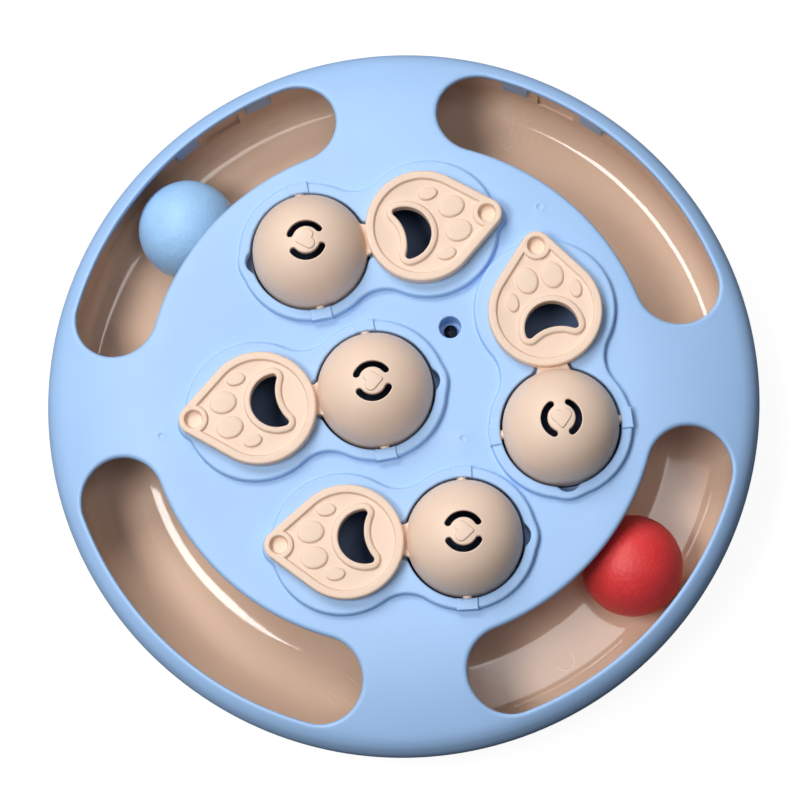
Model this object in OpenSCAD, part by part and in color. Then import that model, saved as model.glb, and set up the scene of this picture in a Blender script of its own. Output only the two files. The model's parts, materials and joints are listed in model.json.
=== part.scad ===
// Treat puzzle for pets: a round cover over a ring track with two captive balls, and four ball-shaped
// lids that turn in the cover and lift their paws off the treat wells.

/* [Cover] */
// Outer diameter of the cover
cover_d = 260; // [258:0.5:264]
// Height of the flat deck above the table
deck_z = 47.5; // [47:0.25:49.5]
// Wall thickness of the cover
cover_wall = 2.4; // [2:0.1:2.6]
// Radius where the flat deck starts to curve down
deck_flat_r = 82; // [80:0.5:84]
// Height of the curved rim, from the deck down to the widest line
rim_drop = 20; // [19:0.5:21]
// Tight radius at the widest line
rim_edge_r = 12; // [11:0.5:13]
// Height of the straight skirt below the widest line
skirt_h = 7; // [6:0.5:8]

/* [Windows] */
// Inner radius of the curved windows
window_r_in = 92.2; // [91.5:0.1:93]
// Outer radius of the curved windows
window_r_out = 122.8; // [122:0.1:123]
// Angle from the middle of a window to the centre of its round end
window_half_angle = 26.65; // [24:0.05:28]

/* [Track and balls] */
// Diameter of a ball
ball_d = 37; // [36:0.25:37.5]
// Radius of the circle that the balls run on
ball_orbit_r = 103.2; // [102.8:0.1:103.6]
// Angle of the blue ball in the track
ball_blue_at = 137.8; // [130:0.1:146]
// Angle of the red ball in the track
ball_red_at = -39.3; // [-46:0.1:-34]
// Gap under a ball
ball_play = 0.3; // [0.2:0.05:0.5]
// Half of the track's width
track_half_w = 21.8; // [21.4:0.1:22]
// Radius between the track's floor and its inner wall
track_corner_in = 19; // [18.6:0.1:19.4]
// Radius between the track's floor and its outer wall
track_corner_out = 10; // [8:0.5:12]
// Wall thickness of the tray
tray_wall = 2.2; // [1.8:0.1:2.2]

/* [Pads] */
// Height of the raised pads above the deck
pad_h = 3; // [2.5:0.25:3.5]
// Radius of the pad's lobe round a dome
dome_lobe_r = 25.7; // [25.5:0.1:26.5]
// Radius of the pad's lobe round a paw
paw_lobe_r = 25.5; // [25:0.1:26]
// Concave radius at the pad's waist
pad_waist_r = 13.5; // [12:0.5:16]
// Rounding of the pad's top edge
pad_round = 1.2; // [0.8:0.1:1.6]
// Radius of the hole that a dome turns in
dome_hole_r = 21.65; // [21.5:0.05:21.8]
// Radius of a treat well
well_r = 16.5; // [15:0.25:16.75]
// Depth of a treat well below the pad
well_depth = 22; // [18:0.5:24]

/* [Stations] */
// Distance from a dome's centre to its treat well
station_pitch = 43.4; // [43.2:0.1:43.8]
// Back dome, left to right
back_x = -29.9; // [-30.2:0.1:-29.6]
// Back dome, front to back
back_y = 51.9; // [51.6:0.1:52.1]
// Direction of the back paw
back_turn = 8; // [6:0.5:10]
// Middle dome, left to right
middle_x = -8.8; // [-9.2:0.1:-8.4]
// Middle dome, front to back
middle_y = -0.3; // [-0.6:0.1:0]
// Direction of the middle paw
middle_turn = 186.9; // [185:0.1:189]
// Front dome, left to right
front_x = 20.2; // [19.9:0.1:20.5]
// Front dome, front to back
front_y = -55.3; // [-55.5:0.1:-55]
// Direction of the front paw
front_turn = 179.6; // [178:0.1:181]
// Right dome, left to right
right_x = 56.6; // [56.3:0.1:56.8]
// Right dome, front to back
right_y = -17.4; // [-17.7:0.1:-17.1]
// Direction of the right paw
right_turn = 94.2; // [93:0.1:96]

/* [Lids] */
// Outer radius of a dome
dome_r = 20.8; // [20.4:0.1:21]
// Wall thickness of a dome
dome_wall = 2; // [1.6:0.1:2.4]
// Radius of the hinge pins
pin_r = 1.7; // [1.5:0.05:1.8]
// Radial play of a pin in its bearing
pin_play = 0.05; // [0.03:0.01:0.08]
// Distance from a dome's centre to its paw's centre
paw_at = 41.6; // [41.4:0.1:41.8]
// Radius of the paw's round end
paw_r = 20.4; // [20.2:0.1:20.6]
// Thickness of the paw
paw_t = 5; // [4.5:0.1:5.5]
// Radius of the paw's tip
paw_tip_r = 5.4; // [5.2:0.1:5.8]
// Distance from the paw's centre to its tip circle
paw_tip_at = 23.8; // [23.4:0.1:24.2]
// Rounding of the paw's top edge
paw_round = 0.9; // [0.6:0.1:1.2]
// Turn of the print on the paw
print_turn = 6; // [0:0.5:8]
// Width of the neck between dome and paw
neck_w = 10.8; // [10:0.1:12]

/* [Screw and feet] */
// Screw, left to right
screw_x = 19.2; // [18:0.1:20]
// Screw, front to back
screw_y = 21.5; // [20:0.1:22.5]
// Diameter of the counterbore
counterbore_d = 7.9; // [7.5:0.1:8.5]
// Depth of the counterbore
counterbore_depth = 9.5; // [8:0.5:11]
// Diameter of a rubber foot
foot_d = 14; // [12:0.5:15]
// Height that the feet lift the tray
foot_lift = 2; // [1.5:0.25:2]

/* [Hidden] */
$fn = 96;
// Faces that would only touch cross by this much
join_gap = 0.05;
// Reach of a cut that runs out into the open
clear = 60;
COVER_BLUE = "#8fbbee";
CUP_BLUE = "#5c8fcb";
LID_BEIGE = "#efd0b4";
TRAY_BEIGE = "#c9a58a";
ARC_STEPS = 16;

// Each station: dome centre and direction of the paw
BACK = [back_x, back_y, back_turn];
MIDDLE = [middle_x, middle_y, middle_turn];
FRONT = [front_x, front_y, front_turn];
RIGHT = [right_x, right_y, right_turn];
STATIONS = [BACK, MIDDLE, FRONT, RIGHT];

// Heights: the hinge axis lies a little below the pad's top
cover_r = cover_d / 2;
deck_under = deck_z - cover_wall;
pad_z = deck_z + pad_h;
axis_drop = 2;
axis_z = pad_z - axis_drop;
widest_z = deck_z - rim_drop;
skirt_z = widest_z - skirt_h;
rim_w = cover_r - deck_flat_r;
// The wide rim arc is level at the deck and runs into the tight one
rim_wide_r = (pow(rim_w - rim_edge_r, 2) + pow(rim_drop, 2) - pow(rim_edge_r, 2))
    / (2 * (rim_drop - rim_edge_r));
rim_joint = atan2(rim_w - rim_edge_r, rim_wide_r - rim_drop);

// Windows and station parts
window_places = [45 : 90 : 315];
notch_r = 4.6;
notch_at = dome_hole_r - 2.7;
// The pad bulges round the notch and under the paw's tip
bulge_r = 10.5;
bulge_at = dome_lobe_r + 0.8 - bulge_r;
nub_r = 6.6;
nub_at = station_pitch + 21.9;
// Bars over the hinge pins
saddle_w = 7.6;
saddle_rise = 0.8;
saddle_round = 0.5;
bearing_end = dome_hole_r + 3;
snap_slot_w = 2 * pin_r - 0.6;
neck_slot_w = neck_w + 1.6;
neck_slot_end = paw_at - paw_r + 3;
neck_slot_floor = -0.6;
neck_slot_flare = 2.2;
neck_root = 3;

// Cups under the pads
cup_wall = 1.8;
flange_t = 1.6;
dome_flange_r = dome_hole_r + 2.8;
well_flange_r = well_r + 3.5;
post_play = 0.15;
post_inset = 0.5;

// Lids
rest_gap = 0.3;
paw_under = axis_drop + rest_gap;
dome_skirt = 3.5;
slot_mid_r = 6.1;
slot_w = 2.4;
slot_half_angle = 59;
// Heart-shaped boss: the centre of a lobe, and the tip that points away from the paw
heart_lobe = [0.9, 1.6];
heart_lobe_r = 2.1;
heart_tip_x = -3;
heart_tip_r = 0.8;
boss_rise = 0.5;
pin_reach = bearing_end - 0.2;
pin_root = 1.5;
neck_flare = 1.2;
neck_top = 3.6;
lip_w = 3;
relief_depth = 1.2;
under_wall = 2;
under_depth = 2;
dimple_r = 3.3;
dimple_ring_r = 5.05;
dimple_depth = 2.6;
bean_lip = 2.2;
// Paw print: its place, toe centres and half sizes, and the two circles that bound the bean
print_y = -0.8;
big_toe = [12.1, 4.65];
big_toe_size = [5, 4.1];
small_toe = [5.5, 11.55];
small_toe_size = [3.6, 2.35];
toe_crown = 1.8;
toe_rise = 1;
bean_x = -6.8;
bean_r = 9.7;
bite_x = -21;
bite_r = 14.5;
bean_corner_r = 1.4;

// Tray
ball_r = ball_d / 2;
ball_headroom = 6;
ball_z = deck_z - ball_headroom - ball_r;
track_floor = ball_z - ball_r - ball_play;
track_mid = ball_orbit_r + 0.2;
track_in = track_mid - track_half_w;
track_out = track_mid + track_half_w;
near_corner = [track_in + track_corner_in, track_floor + track_corner_in];
far_corner = [track_out - track_corner_out, track_floor + track_corner_out];
tray_bottom = track_floor - tray_wall;
wall_top = widest_z + 1.2;
ring_top = deck_z - 15;
floor_rise = 6;
floor_under = tray_bottom + floor_rise;
floor_top = floor_under + tray_wall;
ledge_r = cover_r - 0.6;
ledge_t = 2.2;
// Snaps: thinned spots of the tray's wall with a bead outside, and tabs of the cover on both sides
snap_places = [0 : 60 : 300];
pocket_w = 14.8;
pocket_depth = 1.1;
pocket_z0 = far_corner[1] + 0.4;
pocket_z1 = widest_z - 1.5;
bead_w = 12;
bead_rise = 0.7;
bead_z0 = skirt_z + 1.8;
bead_z1 = bead_z0 + 2.5;
bead_r = track_out + tray_wall + bead_rise;
bead_root_r = track_out + tray_wall - 0.5;
groove_play = 0.4;
tab_w = 10;
tab_t = 1.2;
tab_gap = 0.3;
tab_offset = pocket_w / 2 + 3.5 + tab_w / 2;
tab_z0 = widest_z - 4;
tab_z1 = widest_z + 8.5;
inner_skirt_r = cover_r - cover_wall;

// Screw
screw_head_r = 2.4;
screw_head_h = 2;
screw_crown_r = 4;
shank_r = 1.3;
shank_play = 0.05;
seat_play = 0.2;
recess_l = 3.2;
recess_w = 0.7;
recess_depth = 1;
shank_l = 14;
boss_wall = 2;
seat_z = deck_z - counterbore_depth;
seat_t = 2.4;
post_r = 4.6;
gusset_t = 1.6;
gusset_w = 5;
gusset_h = 14;
foot_sink = 0.8;
foot_play = 0.15;
foot_round = 0.6;
socket_h = 1;
socket_wall = 1.6;
socket_cover = 0.4;

function polar(r, a) = [r * cos(a), r * sin(a)];
// Points of an arc with both ends, and of an arc without them
function arc(c, r, a0, a1, n = ARC_STEPS) = [for (i = [0 : n]) c + polar(r, a0 + (a1 - a0) * i / n)];
function open_arc(c, r, a0, a1, n = ARC_STEPS) =
    [for (i = [1 : n - 1]) c + polar(r, a0 + (a1 - a0) * i / n)];
// Angle that a width takes up at a radius
function span(w, r) = 2 * asin(w / (2 * r));

// Centre of the concave arc that joins two circles on the X axis, on the +Y side
function waist_at(r0, r1, d, f) =
    let (x = (d * d + pow(r0 + f, 2) - pow(r1 + f, 2)) / (2 * d))
    [x, sqrt(pow(r0 + f, 2) - x * x)];

// Strip between the two circles, out to the centres of the concave arcs
function waist_points(r0, r1, d, f) =
    let (c = waist_at(r0, r1, d, f),
         a0 = atan2(c[1], c[0]),
         a1 = atan2(c[1], c[0] - d))
    [polar(r0, -a0), [c[0], -c[1]], [d, 0] + polar(r1, -a1), [d, 0] + polar(r1, a1), c, polar(r0, a0)];

// Half angle at which the tangents of two circles on the X axis leave them
function tangent_angle(r0, r1, d) = acos((r0 - r1) / d);

// Bean of the paw print, grown by an offset: a circle with a bite, its two corners rounded
function bean_points(grow) =
    let (gap = bean_x - bite_x,
         reach = bean_r - bean_corner_r,
         x = (pow(bite_r + bean_corner_r, 2) - reach * reach - gap * gap) / (2 * gap),
         y = sqrt(reach * reach - x * x),
         a_bean = atan2(y, x),
         a_bite = atan2(y, x + gap),
         corner = bean_corner_r + grow)
    concat(arc([bean_x, 0], bean_r + grow, -a_bean, a_bean),
           open_arc([bean_x + x, y], corner, a_bean, 180 + a_bite),
           arc([bite_x, 0], bite_r - grow, a_bite, -a_bite),
           open_arc([bean_x + x, -y], corner, 180 - a_bite, 360 - a_bean));

// Strip along +X that widens towards its near end
function flared_strip(x0, x1, x2, half, flare) =
    [[x0, -half - flare], [x1, -half], [x2, -half], [x2, half], [x1, half], [x0, half + flare]];

// Half section of the cover moved inwards: level deck, wide rim arc, tight arc and straight skirt
module cover_half(inset, low) {
    hub = [deck_flat_r, deck_z - rim_wide_r];
    edge = [cover_r - rim_edge_r, widest_z];
    reach = 2 * rim_wide_r;
    polygon([[0, low], [cover_r - inset, low], [cover_r - inset, widest_z], edge,
             [deck_flat_r, deck_z - inset], [0, deck_z - inset]]);
    intersection() {
        translate(hub)
            circle(r = rim_wide_r - inset);
        polygon([hub, hub + polar(reach, 90 - rim_joint), hub + polar(reach, 90)]);
    }
    translate(edge)
        intersection() {
            circle(r = rim_edge_r - inset);
            square(rim_edge_r);
        }
}

// Slot bent round the origin, with round ends and its middle on +X
module bent_slot(r_in, r_out, half) {
    reach = r_out / cos(half) + 1;
    intersection() {
        difference() {
            circle(r = r_out);
            circle(r = r_in);
        }
        polygon([[0, 0], polar(reach, -half), polar(reach, half)]);
    }
    for (side = [-1, 1])
        translate(polar((r_in + r_out) / 2, side * half))
            circle(r = (r_out - r_in) / 2 + join_gap);
}

// Block with a rounded outer top corner, as a section
module rounded_half(w, h, e) {
    square([w, h - e]);
    square([w - e, h]);
    translate([w - e, h - e])
        intersection() {
            circle(r = e);
            square(e);
        }
}

// Bar with two rounded upper edges, as a section
module rounded_bar(w, h, e) {
    translate([-w / 2, 0])
        square([w, h - e]);
    translate([e - w / 2, 0])
        square([w - 2 * e, h]);
    for (side = [0, 1])
        mirror([side, 0])
            translate([w / 2 - e, h - e])
                intersection() {
                    circle(r = e);
                    square(e);
                }
}

module rounded_disc(r, h, e) {
    rotate_extrude()
        rounded_half(r, h, e);
}

// Two circles joined by concave arcs, the first one at the origin
module eight_flat(r0, r1, d, f) {
    c = waist_at(r0, r1, d, f);
    circle(r = r0);
    translate([d, 0])
        circle(r = r1);
    difference() {
        polygon(waist_points(r0, r1, d, f));
        for (side = [-1, 1])
            translate([c[0], side * c[1]])
                circle(r = f + join_gap);
    }
}

// The same as a slab with a rounded top edge
module eight_slab(r0, r1, d, f, h, e) {
    c = waist_at(r0, r1, d, f);
    waist = f + join_gap;
    rounded_disc(r0, h, e);
    translate([d, 0, 0])
        rounded_disc(r1, h, e);
    difference() {
        linear_extrude(h)
            polygon(waist_points(r0, r1, d, f));
        for (side = [-1, 1])
            translate([c[0], side * c[1], 0])
                rotate_extrude()
                    difference() {
                        translate([0, -1])
                            square([waist + e, h + 2]);
                        translate([waist, -2])
                            square([2 * e, h - e + 2]);
                        translate([waist + e, h - e])
                            circle(r = e);
                    }
    }
}

// Two circles joined by straight tangents, the large one at the origin
module drop_flat(r0, r1, d) {
    a = tangent_angle(r0, r1, d);
    near_r = r0 - join_gap;
    far_r = r1 - join_gap;
    circle(r = r0);
    translate([d, 0])
        circle(r = r1);
    polygon([polar(near_r, a), polar(near_r, -a), [d, 0] + polar(far_r, -a), [d, 0] + polar(far_r, a)]);
}

// The same as a slab with a rounded top edge
module drop_slab(r0, r1, d, h, e) {
    a = tangent_angle(r0, r1, d);
    rounded_disc(r0, h, e);
    translate([d, 0, 0])
        rounded_disc(r1, h, e);
    for (side = [0, 1])
        mirror([0, side, 0])
            rotate([90, 0, a])
                linear_extrude(d * sin(a))
                    rounded_half(r0 - join_gap, h - join_gap, e);
}

// Stands a shape at a station, with the hinge axis along Y and the paw towards +X
module at_station(s) {
    translate([s[0], s[1], axis_z])
        rotate([0, 0, s[2]])
            children();
}

// Part of a ring, its middle on +X
module ring_block(r0, r1, w, z0, z1) {
    a = span(w, r1);
    rotate([0, 0, -a / 2])
        rotate_extrude(angle = a)
            translate([r0, z0])
                square([r1 - r0, z1 - z0]);
}

module station_pad() {
    h = pad_h + cover_wall / 2;
    translate([0, 0, axis_drop - h]) {
        eight_slab(dome_lobe_r, paw_lobe_r, station_pitch, pad_waist_r, h, pad_round);
        translate([-bulge_at, 0, 0])
            rounded_disc(bulge_r, h, pad_round);
        translate([nub_at, 0, 0])
            rounded_disc(nub_r, h, pad_round);
        for (side = [0, 180])
            rotate([90, 0, side])
                translate([0, 0, dome_hole_r - 1])
                    linear_extrude(dome_lobe_r - dome_hole_r + 1)
                        rounded_bar(saddle_w, h + saddle_rise, saddle_round);
    }
}

// Everything that a station takes out of the cover
module station_cut() {
    deep = pad_h + cover_wall + 4;
    translate([0, 0, -deep])
        cylinder(r = dome_hole_r, h = 2 * deep);
    translate([-notch_at, 0, -deep])
        cylinder(r = notch_r, h = 2 * deep);
    translate([station_pitch, 0, -deep])
        cylinder(r = well_r, h = 2 * deep);
    translate([0, 0, neck_slot_floor])
        linear_extrude(deep)
            polygon(flared_strip(dome_hole_r - neck_root, dome_hole_r, neck_slot_end, neck_slot_w / 2,
                                 neck_slot_flare));
    for (side = [0, 180])
        rotate([0, 0, side]) {
            translate([0, dome_hole_r - 1, 0])
                rotate([-90, 0, 0])
                    cylinder(r = pin_r + pin_play, h = bearing_end - dome_hole_r + 1);
            translate([-snap_slot_w / 2, dome_hole_r - 1, -deep])
                cube([snap_slot_w, bearing_end - dome_hole_r + 1, deep]);
        }
}

module top_cover() {
    color(COVER_BLUE)
    difference() {
        union() {
            rotate_extrude()
                difference() {
                    cover_half(0, skirt_z);
                    cover_half(cover_wall, skirt_z - 1);
                }
            for (s = STATIONS)
                at_station(s)
                    station_pad();
            translate([screw_x, screw_y, seat_z - seat_t])
                cylinder(d = counterbore_d + 2 * boss_wall, h = deck_under - seat_z + seat_t + 1);
            for (a = snap_places, side = [-1, 1])
                rotate([0, 0, a + side * span(tab_offset, track_out)])
                    ring_block(track_out - tab_gap - tab_t, track_out - tab_gap, tab_w, tab_z0, tab_z1);
        }
        for (a = window_places)
            rotate([0, 0, a])
                translate([0, 0, widest_z])
                    linear_extrude(rim_drop + pad_h + 2)
                        bent_slot(window_r_in, window_r_out, window_half_angle);
        for (a = snap_places)
            rotate([0, 0, a])
                ring_block(inner_skirt_r - 1, bead_r + groove_play, bead_w + 2 * groove_play,
                           bead_z0 - groove_play, bead_z1 + groove_play);
        for (s = STATIONS)
            at_station(s)
                station_cut();
        translate([screw_x, screw_y, seat_z])
            cylinder(d = counterbore_d, h = counterbore_depth + 1);
        translate([screw_x, screw_y, seat_z - seat_t - 1])
            cylinder(r = shank_r + seat_play, h = seat_t + 2);
    }
}

// Section of the track grown outwards: two corner arcs, the floor between them and the space above
module trough(grow) {
    translate(near_corner)
        circle(r = track_corner_in + grow);
    translate(far_corner)
        circle(r = track_corner_out + grow);
    translate([near_corner[0], track_floor - grow])
        square([far_corner[0] - near_corner[0], clear]);
    translate([track_in - grow, near_corner[1]])
        square([far_corner[0] - track_in + grow, clear]);
    translate([near_corner[0], far_corner[1]])
        square([track_out + grow - near_corner[0], clear]);
}

// Section of the tray: the ring track, its round inner ridge, the raised middle floor and the cover's ledge
module tray_half() {
    ridge_r = tray_wall / 2;
    ridge_z = ring_top - ridge_r;
    difference() {
        union() {
            intersection() {
                trough(tray_wall);
                polygon([[0, 0], [cover_r, 0], [cover_r, wall_top], [near_corner[0], wall_top],
                         [near_corner[0], ridge_z], [0, ridge_z]]);
            }
            translate([0, floor_under])
                square([near_corner[0], tray_wall]);
            translate([track_in - ridge_r, ridge_z])
                circle(r = ridge_r);
            polygon([[track_out, skirt_z - ledge_t], [ledge_r, skirt_z - ledge_t / 2], [ledge_r, skirt_z],
                     [track_out, skirt_z]]);
        }
        trough(0);
    }
}

// Upright rib beside the screw post
module post_gusset() {
    rotate([90, 0, 0])
        translate([0, 0, -gusset_t / 2])
            linear_extrude(gusset_t)
                polygon([[0, 0], [post_r + gusset_w, 0], [post_r, gusset_h], [0, gusset_h]]);
}

module base_tray() {
    color(TRAY_BEIGE)
    difference() {
        union() {
            rotate_extrude()
                tray_half();
            translate([screw_x, screw_y, floor_top - 1]) {
                cylinder(r = post_r, h = seat_z - seat_t - floor_top + 1);
                for (a = [45 : 90 : 315])
                    rotate([0, 0, a])
                        post_gusset();
            }
            for (a = snap_places)
                rotate([0, 0, a])
                    ring_block(bead_root_r, bead_r, bead_w, bead_z0, bead_z1);
            for (i = [1 : 4])
                foot_place(i)
                    translate([0, 0, foot_lift - socket_h])
                        cylinder(d = foot_d + 2 * socket_wall, h = socket_h + tray_wall - socket_cover);
        }
        for (a = snap_places)
            rotate([0, 0, a])
                ring_block(track_out - 1, track_out + pocket_depth, pocket_w, pocket_z0, pocket_z1);
        translate([screw_x, screw_y, seat_z - seat_t - shank_l])
            cylinder(r = shank_r + shank_play, h = shank_l + 1);
        for (i = [1 : 4])
            foot_place(i)
                cylinder(d = foot_d + 2 * foot_play, h = foot_lift + foot_sink);
    }
}

// Double cup under a pad: a round bowl below the dome and a treat well below the paw
module treat_cup() {
    top = deck_under - axis_z;
    flange_mid = top - flange_t / 2;
    post_top = -pin_r - pin_play - post_play;
    color(CUP_BLUE) {
        difference() {
            union() {
                translate([0, 0, top - flange_t])
                    linear_extrude(flange_t)
                        eight_flat(dome_flange_r, well_flange_r, station_pitch, pad_waist_r);
                intersection() {
                    sphere(r = dome_hole_r + cup_wall);
                    translate([0, 0, flange_mid - 2 * dome_hole_r])
                        cylinder(r = 2 * dome_hole_r, h = 2 * dome_hole_r);
                }
                translate([station_pitch, 0, axis_drop - well_depth - cup_wall])
                    cylinder(r = well_r + cup_wall, h = flange_mid - axis_drop + well_depth + cup_wall);
            }
            sphere(r = dome_hole_r);
            translate([station_pitch, 0, axis_drop - well_depth])
                cylinder(r = well_r, h = well_depth);
        }
        for (side = [0, 180])
            rotate([0, 0, side])
                translate([post_play - snap_slot_w / 2, dome_hole_r + post_inset, flange_mid])
                    cube([snap_slot_w - 2 * post_play, pin_reach - dome_hole_r - post_inset,
                          post_top - flange_mid]);
    }
}

// Two drops that share their tip
module heart_flat() {
    to_tip = [heart_tip_x - heart_lobe[0], -heart_lobe[1]];
    for (side = [0, 1])
        mirror([0, side])
            translate(heart_lobe)
                rotate(atan2(to_tip[1], to_tip[0]))
                    drop_flat(heart_lobe_r, heart_tip_r, norm(to_tip));
}

// Shell of the dome with its two slots, its boss and its hinge pins
module lid_dome() {
    difference() {
        intersection() {
            sphere(r = dome_r);
            translate([0, 0, -dome_skirt])
                cylinder(r = dome_r + 1, h = dome_r + dome_skirt + 1);
        }
        sphere(r = dome_r - dome_wall);
        for (side = [90, 270])
            rotate([0, 0, side])
                linear_extrude(dome_r + 1)
                    bent_slot(slot_mid_r - slot_w / 2, slot_mid_r + slot_w / 2, slot_half_angle);
    }
    intersection() {
        sphere(r = dome_r + boss_rise);
        translate([0, 0, dome_r - dome_wall / 2])
            linear_extrude(dome_wall)
                heart_flat();
    }
    for (side = [-90, 90])
        rotate([side, 0, 0])
            translate([0, 0, dome_r - pin_root])
                cylinder(r = pin_r, h = pin_reach - dome_r + pin_root);
}

module lid_neck() {
    difference() {
        translate([0, 0, rest_gap])
            linear_extrude(neck_top - rest_gap)
                polygon(flared_strip(dome_r - neck_root, dome_r + 0.8, neck_slot_end - 1, neck_w / 2,
                                     neck_flare));
        sphere(r = dome_r - dome_wall / 2);
    }
}

// Puts the print in its place on the paw
module printed() {
    translate([0, print_y, 0])
        rotate([0, 0, print_turn])
            children();
}

// Pair of toes: flattened ellipsoids with level tops
module paw_toe(at, size) {
    for (side = [-1, 1])
        translate([at[0], side * at[1], 0])
            intersection() {
                scale([size[0], size[1], toe_crown])
                    sphere(r = 1);
                translate([0, 0, -toe_rise])
                    cylinder(r = size[0] + 1, h = 2 * toe_rise);
            }
}

// Paw with a raised border, a print in relief, a bean-shaped hole and a dimple at its tip
module lid_paw() {
    relief_z = paw_t - relief_depth;
    difference() {
        drop_slab(paw_r, paw_tip_r, paw_tip_at, paw_t, paw_round);
        translate([0, 0, relief_z])
            linear_extrude(relief_depth + 1)
                difference() {
                    drop_flat(paw_r - lip_w, paw_tip_r - lip_w, paw_tip_at);
                    translate([paw_tip_at, 0])
                        circle(r = dimple_ring_r);
                    printed()
                        polygon(bean_points(bean_lip));
                }
        translate([0, 0, -1])
            linear_extrude(under_depth + 1)
                difference() {
                    drop_flat(paw_r - under_wall, paw_tip_r - under_wall, paw_tip_at);
                    translate([paw_tip_at, 0])
                        circle(r = dimple_r + under_wall);
                    printed()
                        polygon(bean_points(under_wall));
                }
        printed()
            translate([0, 0, -1])
                linear_extrude(paw_t + 2)
                    polygon(bean_points(0));
        translate([paw_tip_at, 0, paw_t - dimple_depth])
            cylinder(r = dimple_r, h = dimple_depth + 1);
    }
    translate([0, 0, relief_z])
        printed() {
            paw_toe(big_toe, big_toe_size);
            paw_toe(small_toe, small_toe_size);
        }
}

module flip_lid() {
    color(LID_BEIGE) {
        lid_dome();
        lid_neck();
        translate([paw_at, 0, paw_under])
            lid_paw();
    }
}

module track_ball(at, tint) {
    color(tint)
        rotate([0, 0, at])
            translate([ball_orbit_r, 0, ball_z])
                sphere(r = ball_r);
}

module cover_screw() {
    color("#2c2c30")
    translate([screw_x, screw_y, seat_z])
        difference() {
            union() {
                intersection() {
                    cylinder(r = screw_head_r, h = screw_head_h);
                    translate([0, 0, screw_head_h - screw_crown_r])
                        sphere(r = screw_crown_r);
                }
                translate([0, 0, 1 - shank_l])
                    cylinder(r = shank_r, h = shank_l);
            }
            for (a = [0, 90])
                rotate([0, 0, a])
                    translate([-recess_l / 2, -recess_w / 2, screw_head_h - recess_depth])
                        cube([recess_l, recess_w, 2 * recess_depth]);
        }
}

module foot_place(i) {
    rotate([0, 0, 90 * i - 45])
        translate([track_mid, 0, tray_bottom - foot_lift])
            children();
}

module rubber_foot(i) {
    color("#38383a")
        foot_place(i)
            translate([0, 0, foot_lift + foot_sink])
                mirror([0, 0, 1])
                    rounded_disc(foot_d / 2, foot_lift + foot_sink, foot_round);
}

top_cover();
base_tray();
at_station(BACK) treat_cup();  // cup_back
at_station(MIDDLE) treat_cup();  // cup_middle
at_station(FRONT) treat_cup();  // cup_front
at_station(RIGHT) treat_cup();  // cup_right
at_station(BACK) flip_lid();  // lid_back
at_station(MIDDLE) flip_lid();  // lid_middle
at_station(FRONT) flip_lid();  // lid_front
at_station(RIGHT) flip_lid();  // lid_right
track_ball(ball_blue_at, "#6fb3ea");  // ball_blue
track_ball(ball_red_at, "#c8353a");  // ball_red
cover_screw();
rubber_foot(1);  // foot_1
rubber_foot(2);  // foot_2
rubber_foot(3);  // foot_3
rubber_foot(4);  // foot_4
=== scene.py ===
"""Looks for the round treat puzzle: softly rounded mouldings, balls, materials, light and camera."""
import json
import math

import bmesh
import bpy
import numpy as np
from mathutils import Matrix, Vector, noise
from mathutils.geometry import delaunay_2d_cdt

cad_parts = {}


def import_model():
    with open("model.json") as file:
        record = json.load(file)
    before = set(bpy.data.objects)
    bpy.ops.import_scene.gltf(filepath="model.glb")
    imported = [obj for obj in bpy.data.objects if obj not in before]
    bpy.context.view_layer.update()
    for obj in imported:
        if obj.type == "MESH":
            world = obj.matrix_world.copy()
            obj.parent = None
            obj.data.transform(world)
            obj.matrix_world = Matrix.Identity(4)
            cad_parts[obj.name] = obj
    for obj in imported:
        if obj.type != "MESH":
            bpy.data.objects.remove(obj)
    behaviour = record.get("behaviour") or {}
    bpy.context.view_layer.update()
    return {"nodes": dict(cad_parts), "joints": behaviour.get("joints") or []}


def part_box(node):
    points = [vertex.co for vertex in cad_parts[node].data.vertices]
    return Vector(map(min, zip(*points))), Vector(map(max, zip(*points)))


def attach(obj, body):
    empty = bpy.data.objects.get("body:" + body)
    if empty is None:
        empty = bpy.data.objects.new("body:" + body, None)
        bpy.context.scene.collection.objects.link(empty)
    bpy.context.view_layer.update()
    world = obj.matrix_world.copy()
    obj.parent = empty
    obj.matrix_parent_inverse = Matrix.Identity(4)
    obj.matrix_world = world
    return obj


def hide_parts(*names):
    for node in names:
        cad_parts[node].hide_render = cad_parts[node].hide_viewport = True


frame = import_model()
scene = bpy.context.scene
MM = 0.001

# Margins for rounding in double precision and in Blender's single precision
TINY, NEAR = 1e-6, 1e-3

# Sizes repeated from the part's source, in millimetres
COVER_R, DECK, WALL = 130.0, 47.5, 2.4
FLAT_R, RIM_WIDE, RIM_EDGE = 82.0, 97.0, 12.0
WIDEST, SKIRT = 27.5, 20.5
WINDOW_IN, WINDOW_OUT, WINDOW_HALF = 92.2, 122.8, math.radians(26.65)
PAD, AXIS, PITCH = 3.0, 48.5, 43.4
DOME_LOBE, PAW_LOBE, WAIST = 25.7, 25.5, 13.5
HOLE, WELL = 21.65, 16.5
NOTCH_AT, NOTCH_R, BULGE_AT, BULGE_R, NUB_AT, NUB_R = 18.95, 4.6, 16.0, 10.5, 65.3, 6.6
SADDLE_HALF, SADDLE_END, SADDLE_RISE, SADDLE_ROUND = 3.8, 25.7, 0.8, 0.5
CHANNEL_HALF, CHANNEL_END, CHANNEL_DEPTH = 6.2, 24.2, 2.6
DOME_R, DOME_WALL, DOME_SKIRT = 20.8, 2.0, 3.5
PIN_R, PIN_END = 1.7, 24.45
PAW_AT, PAW_R, TIP_R, TIP_AT, PAW_T, PAW_UNDER = 41.6, 20.4, 5.4, 23.8, 5.0, 2.3
LIP, RELIEF, PRINT_TURN, PRINT_V = 3.0, 1.2, math.radians(6), -0.8
NECK_HALF, NECK_FLARE, NECK_END, NECK_TOP = 5.4, 1.2, 23.2, 3.6
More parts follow.
